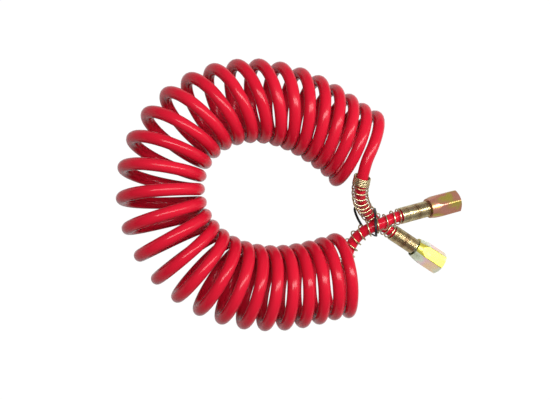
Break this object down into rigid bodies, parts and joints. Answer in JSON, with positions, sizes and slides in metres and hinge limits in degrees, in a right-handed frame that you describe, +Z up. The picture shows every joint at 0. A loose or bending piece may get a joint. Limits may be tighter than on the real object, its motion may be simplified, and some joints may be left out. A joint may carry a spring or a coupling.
{
  "type": "coiled air hose",
  "caption": "Closely wound nylon air hose bent into a C and tied where its ends cross, each end with a spring guard, a crimped ferrule and a long swivelling hexagon union nut.",
  "frame": {"origin": "on the floor under the middle of the whole part's box", "axes": "+X from the closed side of the C to the two union nuts, +Z up, away from the floor the coil lies on"},
  "size_m": [0.376, 0.2757, 0.0848],
  "materials": {
    "hose_nylon": "glossy red extruded nylon",
    "guard_wire": "yellow zinc plated spring wire",
    "ferrule_steel": "yellow zinc plated turned steel",
    "stem_brass": "turned brass",
    "seal_rubber": "black nitrile rubber",
    "nut_zinc": "yellow zinc plated steel with pink and green iridescence",
    "tie_nylon": "black moulded nylon"
  },
  "bodies": {
    "hose": {"hose_coil": "hose_nylon", "hose_leg_a": "hose_nylon", "hose_leg_b": "hose_nylon", "spring_guard_a": "guard_wire", "spring_guard_b": "guard_wire", "crimp_ferrule_a": "ferrule_steel", "crimp_ferrule_b": "ferrule_steel", "hose_stem_a": "stem_brass", "hose_stem_b": "stem_brass", "seal_ring_a": "seal_rubber", "seal_ring_b": "seal_rubber", "cable_tie": "tie_nylon"},
    "nut_a": {"union_nut_a": "nut_zinc"},
    "nut_b": {"union_nut_b": "nut_zinc"}
  },
  "joints": [
    {"name": "nut_a_swivel", "type": "hinge", "parent": "hose", "child": "nut_a", "pos_m": [0.14999, -0.01436, 0.012], "axis": [0.9432, -0.3322, 0], "continuous": true},
    {"name": "nut_b_swivel", "type": "hinge", "parent": "hose", "child": "nut_b", "pos_m": [0.1486, 0.02844, 0.0313], "axis": [0.8957, 0.4446, 0], "continuous": true}
  ]
}
